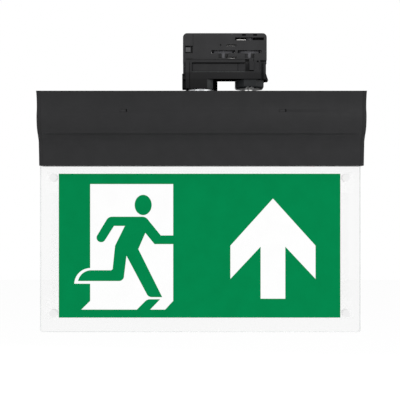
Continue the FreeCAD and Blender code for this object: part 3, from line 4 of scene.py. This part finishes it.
import bpy
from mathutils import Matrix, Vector


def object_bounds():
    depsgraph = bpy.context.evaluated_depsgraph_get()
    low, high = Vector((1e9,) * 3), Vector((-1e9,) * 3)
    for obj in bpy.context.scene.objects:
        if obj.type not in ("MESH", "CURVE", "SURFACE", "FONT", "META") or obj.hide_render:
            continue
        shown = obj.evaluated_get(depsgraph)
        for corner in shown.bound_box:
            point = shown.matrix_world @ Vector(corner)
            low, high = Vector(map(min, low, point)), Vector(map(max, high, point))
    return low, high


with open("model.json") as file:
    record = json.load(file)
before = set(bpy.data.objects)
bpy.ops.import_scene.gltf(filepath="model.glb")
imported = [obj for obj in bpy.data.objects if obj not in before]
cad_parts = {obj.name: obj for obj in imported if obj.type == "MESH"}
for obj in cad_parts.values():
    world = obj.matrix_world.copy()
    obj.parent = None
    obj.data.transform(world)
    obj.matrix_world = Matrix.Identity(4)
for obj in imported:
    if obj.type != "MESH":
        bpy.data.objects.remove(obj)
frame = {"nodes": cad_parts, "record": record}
cad_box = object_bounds()
nodes = frame["nodes"]

MM = 0.001
MICRON = 0.000001
WHITE = (1, 1, 1, 1)

# Places on the part, in mm from the adapter's shoulder and middle.
EDGE_BAND = 5            # faces this near to the blade's outline belong to its sawn edge
# BASE_LOW, CHEEK_RIGHT and HEEL_LEFT bound the painted highlight and painted shade on the adapter's base.
BASE_LOW = -18.3         # just above the underside of the adapter's base: boss, cheek and heel hang lower
CHEEK_RIGHT = 5.9        # just right of the cheek
HEEL_LEFT = 12.2         # just left of the heel
# Painted shade on the adapter's base, darker towards the bottom: heights in mm, each with the share of the
# skin's colour that is left there.
BASE_SHADE_LEVELS = ((-30, 0.38), (-19, 0.42), (-17.6, 0.56), (-12, 0.62), (-10.8, 0.95), (-10, 1))

# A face looks along an axis if its normal's share there is above this.
FACING = 0.5
FACING_DOWN = 0.7

# A noise value lies almost always between these two.
NOISE_LOW, NOISE_HIGH = 0.3, 0.7

# Painted glow: white light given off by the film and the rivets, which are no lamps, in place of the light
# of the lit blade.
FILM_PAINTED_GLOW = 0.6
RIVET_PAINTED_GLOW = 0.74

# Rounded edges: widths in mm, and the least angle between two faces that is rounded.
HOUSING_EDGE = 0.3
ADAPTER_EDGE = 0.15
SHARP_ANGLE = math.radians(35)


# ---------------------------------------------------------------------------------------------
# Materials
# ---------------------------------------------------------------------------------------------

def linear(*levels):
    """Display levels from 0 to 255 as a linear colour."""
    shares = [level / 255 for level in levels]
    return tuple(s / 12.92 if s <= 0.04045 else ((s + 0.055) / 1.055) ** 2.4 for s in shares) + (1.0,)


def shader(name, roughness, metallic=0.0, ior=1.5, transmission=0.0, specular=0.5):
    """A new material with one Principled shader, and the shader's node."""
    material = bpy.data.materials.new(name)
    material.use_nodes = True
    principled = material.node_tree.nodes["Principled BSDF"]
    principled.inputs["Roughness"].default_value = roughness
    principled.inputs["Metallic"].default_value = metallic
    principled.inputs["IOR"].default_value = ior
    principled.inputs["Transmission Weight"].default_value = transmission
    principled.inputs["Specular IOR Level"].default_value = specular
    return material, principled


def noise(tree, scale, detail=3.0, stretch=(1, 1, 1)):
    """Noise in the object's own metres, drawn out along an axis where stretch is small."""
    place = tree.nodes.new("ShaderNodeTexCoord")
    mapping = tree.nodes.new("ShaderNodeMapping")
    mapping.inputs["Scale"].default_value = stretch
    texture = tree.nodes.new("ShaderNodeTexNoise")
    texture.inputs["Scale"].default_value = scale
    texture.inputs["Detail"].default_value = detail
    tree.links.new(place.outputs["Object"], mapping.inputs["Vector"])
    tree.links.new(mapping.outputs["Vector"], texture.inputs["Vector"])
    return texture.outputs["Fac"]


def spread(tree, value, low, high):
    """A noise value laid between two numbers."""
    ramp = tree.nodes.new("ShaderNodeMapRange")
    ramp.inputs["From Min"].default_value = NOISE_LOW
    ramp.inputs["From Max"].default_value = NOISE_HIGH
    ramp.inputs["To Min"].default_value = low
    ramp.inputs["To Max"].default_value = high
    tree.links.new(value, ramp.inputs["Value"])
    return ramp.outputs["Result"]


def tint(tree, value, dark, light):
    """A noise value laid between two colours."""
    ramp = tree.nodes.new("ShaderNodeValToRGB")
    for stop, place, color in zip(ramp.color_ramp.elements, (NOISE_LOW, NOISE_HIGH), (dark, light)):
        stop.position = place
        stop.color = color
    tree.links.new(value, ramp.inputs["Fac"])
    return ramp.outputs["Color"]


def bump(tree, height, depth):
    """A bump of a depth in metres."""
    relief = tree.nodes.new("ShaderNodeBump")
    relief.inputs["Distance"].default_value = depth
    tree.links.new(height, relief.inputs["Height"])
    return relief.outputs["Normal"]


def grained(name, dark, light, roughness, grain, depth, blotch=60, stretch=(1, 1, 1), **more):
    """A surface with a fine grain, faint blotches of colour and an uneven sheen.

    Dark and light are display levels, grain and blotch are the noises' scales, depth is in microns.
    """
    material, principled = shader(name, sum(roughness) / 2, **more)
    tree = material.node_tree
    link = tree.links.new
    blotches = noise(tree, blotch, 4, stretch)
    link(tint(tree, blotches, linear(*dark), linear(*light)), principled.inputs["Base Color"])
    link(spread(tree, noise(tree, blotch * 3, 3, stretch), *roughness), principled.inputs["Roughness"])
    link(bump(tree, noise(tree, grain, 2, stretch), depth * MICRON), principled.inputs["Normal"])
    return material


def paint_glow(material, strength):
    """A skin with a painted glow of white light, in place of the light of the lit blade."""
    principled = material.node_tree.nodes["Principled BSDF"]
    principled.inputs["Emission Color"].default_value = WHITE
    principled.inputs["Emission Strength"].default_value = strength
    return material


def paint_shade_downwards(material, levels):
    """Painted shade: multiply a material's colour by shares laid out by height, as (height in mm, share)
    pairs.
    """
    tree = material.node_tree
    principled = tree.nodes["Principled BSDF"]
    skin = principled.inputs["Base Color"].links[0].from_socket
    place = tree.nodes.new("ShaderNodeTexCoord")
    split = tree.nodes.new("ShaderNodeSeparateXYZ")
    height = tree.nodes.new("ShaderNodeMapRange")
    low, high = levels[0][0], levels[-1][0]
    height.inputs["From Min"].default_value = low * MM
    height.inputs["From Max"].default_value = high * MM
    ramp = tree.nodes.new("ShaderNodeValToRGB")
    stops = ramp.color_ramp.elements
    while len(stops) < len(levels):
        stops.new(0.5)
    for stop, (level, share) in zip(stops, levels):
        stop.position = (level - low) / (high - low)
        stop.color = (share, share, share, 1)
    both = tree.nodes.new("ShaderNodeVectorMath")
    both.operation = "MULTIPLY"
    tree.links.new(place.outputs["Object"], split.inputs["Vector"])
    tree.links.new(split.outputs["Z"], height.inputs["Value"])
    tree.links.new(height.outputs["Result"], ramp.inputs["Fac"])
    tree.links.new(skin, both.inputs[0])
    tree.links.new(ramp.outputs["Color"], both.inputs[1])
    tree.links.new(both.outputs["Vector"], principled.inputs["Base Color"])


def see_through(name, levels, opacity, roughness, depth):
    """Clear plastic so thin or so flat that it hardly bends what lies behind it. Depth is in microns."""
    material, principled = shader(name, roughness, ior=1.49)
    tree = material.node_tree
    link = tree.links.new
    color = linear(*levels)
    dark = tuple(0.96 * share for share in color[:3]) + (1.0,)
    link(tint(tree, noise(tree, 18, 2), dark, color), principled.inputs["Base Color"])
    principled.inputs["Alpha"].default_value = opacity
    link(spread(tree, noise(tree, 90, 3), roughness, roughness * 2), principled.inputs["Roughness"])
    link(bump(tree, noise(tree, 35, 2), depth * MICRON), principled.inputs["Normal"])
    return material


BLADE_EDGE = see_through("blade_sawn_edge", (196, 202, 200), 0.4, 0.3, 10)
# Painted light and shade on the adapter's plastic: a lighter copy for the tower, lit from above, and a
# darker copy for the base that darkens further downwards.
TOWER_PAINTED_LIGHT_SKIN = grained("tower_moulding_painted_light", (48, 48, 49), (54, 54, 55), (0.38, 0.5), 1600, 30, specular=0.12)
BASE_PAINTED_SHADE_SKIN = grained("base_moulding_painted_shade", (42, 42, 43), (47, 47, 48), (0.4, 0.52), 1600, 30, specular=0.1)
paint_shade_downwards(BASE_PAINTED_SHADE_SKIN, BASE_SHADE_LEVELS)
# Painted shade: a near-black copy of the moulding for the base's undersides and heel.
SHADE_SKIN = grained("unlit_moulding", (3, 3, 3), (7, 7, 7), (0.8, 0.9), 1600, 30, specular=0.0)
# Painted highlight: a lighter copy of the moulding for the base's lit facet and chamfered lip.
PAINTED_HIGHLIGHT_SKIN = grained("painted_highlight_moulding", (58, 60, 60), (68, 70, 70), (0.35, 0.45), 1600, 20, specular=0.2)
TAB_METAL = grained("contact_tab_metal", (74, 74, 75), (94, 94, 95), (0.3, 0.42), 500, 10, metallic=1.0)
# The material of each of the record's slots.
LOOKS = {
    "housing_paint": grained("powder_coat", (43, 43, 44), (46, 46, 47), (0.5, 0.58), 2400, 40,
                             specular=0.1),
    "cap_plastic": grained("cap_moulding", (40, 40, 41), (44, 44, 45), (0.5, 0.6), 1500, 30, specular=0.1),
    "tray_plastic": grained("tray_moulding", (48, 48, 49), (54, 54, 55), (0.5, 0.62), 1300, 30,
                            specular=0.1),
    "adapter_plastic": grained("adapter_moulding", (42, 42, 43), (48, 48, 49), (0.38, 0.5), 1600, 30,
                               specular=0.12),
    "knob_plastic": grained("knob_moulding", (36, 38, 39), (44, 46, 48), (0.3, 0.42), 1600, 30,
                            specular=0.15),
    "rotor_plastic": grained("rotor_moulding", (84, 84, 88), (96, 96, 100), (0.35, 0.45), 1600, 30,
                             specular=0.3),
    "black_screws": grained("black_steel", (30, 30, 31), (38, 38, 40), (0.35, 0.5), 900, 20, metallic=1.0),
    "zinc_steel": grained("zinc_plate", (196, 198, 200), (214, 215, 217), (0.25, 0.36), 700, 20,
                          metallic=1.0, blotch=140),
    "contact_metal": grained("tinned_brass", (228, 227, 224), (240, 239, 236), (0.22, 0.32), 500, 10,
                             metallic=1.0),
    "channel_aluminium": grained("mill_aluminium", (196, 198, 200), (208, 210, 212), (0.3, 0.42), 900, 20,
                                 metallic=1.0, stretch=(0.05, 1, 1)),
    "driver_plastic": grained("driver_moulding", (214, 214, 210), (224, 224, 220), (0.45, 0.55), 1300, 30),
    "terminal_plastic": grained("terminal_moulding", (226, 226, 222), (236, 236, 232), (0.35, 0.45), 1300,
                                20),
    "circuit_board": grained("solder_mask", (20, 84, 50), (28, 100, 60), (0.25, 0.35), 600, 20),
    "component_black": grained("component_case", (24, 24, 25), (34, 34, 35), (0.3, 0.4), 900, 20),
    "cell_wrap": grained("cell_sleeve", (36, 112, 76), (44, 124, 84), (0.2, 0.3), 500, 20),
    "lead_sheath": grained("lead_sheath", (28, 28, 29), (38, 38, 39), (0.5, 0.6), 1500, 30),
    "lamp_phosphor": grained("phosphor", (236, 226, 150), (244, 236, 176), (0.25, 0.35), 900, 10),
    "button_plastic": grained("button_moulding", (178, 28, 24), (196, 34, 28), (0.25, 0.35), 1200, 10),
    "switch_plastic": grained("switch_moulding", (28, 28, 29), (36, 36, 37), (0.4, 0.5), 1200, 20),
    "lamp_lens": grained("lens_moulding", (60, 176, 84), (72, 190, 96), (0.15, 0.25), 700, 10,
                         transmission=0.4),
    "white_film": paint_glow(grained("diffusing_film_painted_glow", (163, 163, 163), (166, 166, 166), (0.45, 0.55), 1800,
                          10, specular=0.1), FILM_PAINTED_GLOW),
    "green_print": grained("green_ink", (0, 129, 73), (0, 133, 76), (0.4, 0.5), 1800, 10, specular=0.02),
    "clear_acrylic": see_through("blade_acrylic", (190, 191, 190), 0.06, 0.06, 2),
    "clear_sheet": see_through("legend_sheet", (200, 201, 200), 0.008, 0.08, 2),
    "clear_rivet": paint_glow(grained("rivet_moulding_painted_glow", (90, 90, 90), (110, 110, 110), (0.2, 0.3), 900, 10,
                           specular=0.1), RIVET_PAINTED_GLOW),
}


def dress_nodes():
    """Each carried-over part gets its slot's material."""
    slots = {part["node"]: part["material_slot"] for part in frame["record"]["subparts"]}
    for name, item in nodes.items():
        item.data.materials.clear()
        item.data.materials.append(LOOKS[slots[name]])


def dress_faces(name, material, chosen):
    """Another material on the faces that chosen picks by their centre in mm and their normal."""
    mesh = nodes[name].data
    mesh.materials.append(material)
    for face in mesh.polygons:
        if chosen(face.center / MM, face.normal):
            face.material_index = len(mesh.materials) - 1


def dress_details():
    """The blade's sawn edges, and the adapter's mouldings: lit and shaded copies of one plastic, with a
    painted highlight and painted shade.
    """
    corners = nodes["light_blade"].bound_box
    side = max(corner[0] for corner in corners) / MM - EDGE_BAND
    foot = min(corner[2] for corner in corners) / MM + EDGE_BAND
    dress_faces("light_blade", BLADE_EDGE,
                lambda centre, normal: abs(normal.y) < FACING and (abs(centre.x) > side or centre.z < foot))
    nodes["contact_tab"].data.materials[0] = TAB_METAL
    # Painted light and shade: the tower gets the lighter copy of the moulding, the base the darker one.
    nodes["adapter_tower"].data.materials[0] = TOWER_PAINTED_LIGHT_SKIN
    nodes["adapter_base"].data.materials[0] = BASE_PAINTED_SHADE_SKIN
    # Painted highlight on the front facet between cheek and heel and on the sloping lip chamfer.
    dress_faces("adapter_base", PAINTED_HIGHLIGHT_SKIN, lambda centre, normal: (
        CHEEK_RIGHT < centre.x < HEEL_LEFT and centre.z < BASE_LOW and normal.y < -FACING
        or normal.y < -FACING and normal.z > FACING and centre.z > BASE_LOW))
    # Painted shade on the faces pointing down and on the heel below the base.
    dress_faces("adapter_base", SHADE_SKIN, lambda centre, normal: (
        normal.z < -FACING_DOWN or centre.x > HEEL_LEFT and centre.z < BASE_LOW))


def soften(names, width):
    """Rounded edges, of a width in mm, on carried-over parts. Their corners are joined first."""
    for name in names:
        weld = nodes[name].modifiers.new("join_corners", "WELD")
        weld.merge_threshold = 0.01 * MM
        bevel = nodes[name].modifiers.new("soft_edges", "BEVEL")
        bevel.width = width * MM
        bevel.segments = 2
        bevel.limit_method = "ANGLE"
        bevel.angle_limit = SHARP_ANGLE
        bevel.use_clamp_overlap = True
        bevel.harden_normals = True


# ---------------------------------------------------------------------------------------------
# Stage, light and camera
# ---------------------------------------------------------------------------------------------

AMBIENT = 0.74           # the surroundings' strength for every ray that isn't seen directly
FLOOR_GLOW = 0.338       # what the floor adds of its own where it is seen directly
FLOOR_DROP = 0.45        # metres from the light's lowest point down to the floor
FLOOR_SIDE = 12
FLOOR_COLOR = (0.86, 0.86, 0.86, 1)

# Softboxes: place in metres, side in metres and power in watts. All are turned to LIGHT_AIM.
LIGHT_AIM = (0, 0, -0.13)
SOFTBOXES = {
    "key": ((1.3, -1.7, 0.9), 1.2, 16),
    "fill": ((-1.4, -1.5, 0.4), 1.4, 5),
    "rear": ((0.4, 1.9, 0.8), 1.4, 12),
}

# The camera: place in mm, lens and sensor in mm. It looks level along +Y.
CAMERA_PLACE = (-1.6, -1014, -146)
CAMERA_LENS = 85.2
CAMERA_SENSOR = 36


def seen_directly(tree):
    """1 for what the camera sees, straight or in a mirror or through glass, else 0."""
    path = tree.nodes.new("ShaderNodeLightPath")
    total = path.outputs["Is Camera Ray"]
    for kind in ("Is Glossy Ray", "Is Transmission Ray"):
        top = tree.nodes.new("ShaderNodeMath")
        top.operation = "MAXIMUM"
        tree.links.new(total, top.inputs[0])
        tree.links.new(path.outputs[kind], top.inputs[1])
        total = top.outputs["Value"]
    return total


def make_world():
    """White surroundings, dimmer for the light they give than for the camera."""
    world = bpy.data.worlds.new("studio")
    bpy.context.scene.world = world
    world.use_nodes = True
    tree = world.node_tree
    tree.nodes.clear()
    mix = tree.nodes.new("ShaderNodeMixShader")
    out = tree.nodes.new("ShaderNodeOutputWorld")
    tree.links.new(seen_directly(tree), mix.inputs["Fac"])
    for socket, strength in ((1, AMBIENT), (2, 1.0)):
        background = tree.nodes.new("ShaderNodeBackground")
        background.inputs["Strength"].default_value = strength
        background.inputs["Color"].default_value = WHITE
        tree.links.new(background.outputs["Background"], mix.inputs[socket])
    tree.links.new(mix.outputs["Shader"], out.inputs["Surface"])


def make_floor():
    """A pale floor well below the hanging light."""
    material = bpy.data.materials.new("floor_white")
    material.use_nodes = True
    tree = material.node_tree
    principled = tree.nodes["Principled BSDF"]
    principled.inputs["Base Color"].default_value = FLOOR_COLOR
    principled.inputs["Roughness"].default_value = 0.9
    principled.inputs["Specular IOR Level"].default_value = 0.0
    glow = tree.nodes.new("ShaderNodeEmission")
    glow.inputs["Strength"].default_value = FLOOR_GLOW
    both = tree.nodes.new("ShaderNodeAddShader")
    mix = tree.nodes.new("ShaderNodeMixShader")
    out = tree.nodes["Material Output"]
    tree.links.new(principled.outputs["BSDF"], both.inputs[0])
    tree.links.new(glow.outputs["Emission"], both.inputs[1])
    tree.links.new(seen_directly(tree), mix.inputs["Fac"])
    tree.links.new(principled.outputs["BSDF"], mix.inputs[1])
    tree.links.new(both.outputs["Shader"], mix.inputs[2])
    tree.links.new(mix.outputs["Shader"], out.inputs["Surface"])
    bpy.ops.mesh.primitive_plane_add(size=FLOOR_SIDE, location=(0, 0, cad_box[0][2] - FLOOR_DROP))
    floor = bpy.context.object
    floor.name = "floor"
    floor.data.materials.append(material)


def make_lights():
    """Square softboxes, all turned to one point."""
    for name, (place, side, power) in SOFTBOXES.items():
        lamp = bpy.data.lights.new(name, "AREA")
        lamp.size = side
        lamp.energy = power
        item = bpy.data.objects.new(name, lamp)
        bpy.context.scene.collection.objects.link(item)
        item.location = place
        item.rotation_euler = (Vector(LIGHT_AIM) - Vector(place)).to_track_quat("-Z", "Y").to_euler()


def make_camera():
    """The camera looks straight along +Y from in front of the light."""
    camera = bpy.data.cameras.new("camera")
    camera.lens = CAMERA_LENS
    camera.sensor_width = CAMERA_SENSOR
    item = bpy.data.objects.new("camera", camera)
    bpy.context.scene.collection.objects.link(item)
    item.location = Vector(CAMERA_PLACE) * MM
    item.rotation_euler = (math.radians(90), 0, 0)
    bpy.context.scene.camera = item


dress_nodes()
dress_details()
soften(("left_end_cap", "right_end_cap", "housing_profile"), HOUSING_EDGE)
soften(("adapter_tower", "adapter_base"), ADAPTER_EDGE)
make_world()
make_floor()
make_lights()
make_camera()
bpy.context.scene.view_settings.view_transform = "Standard"
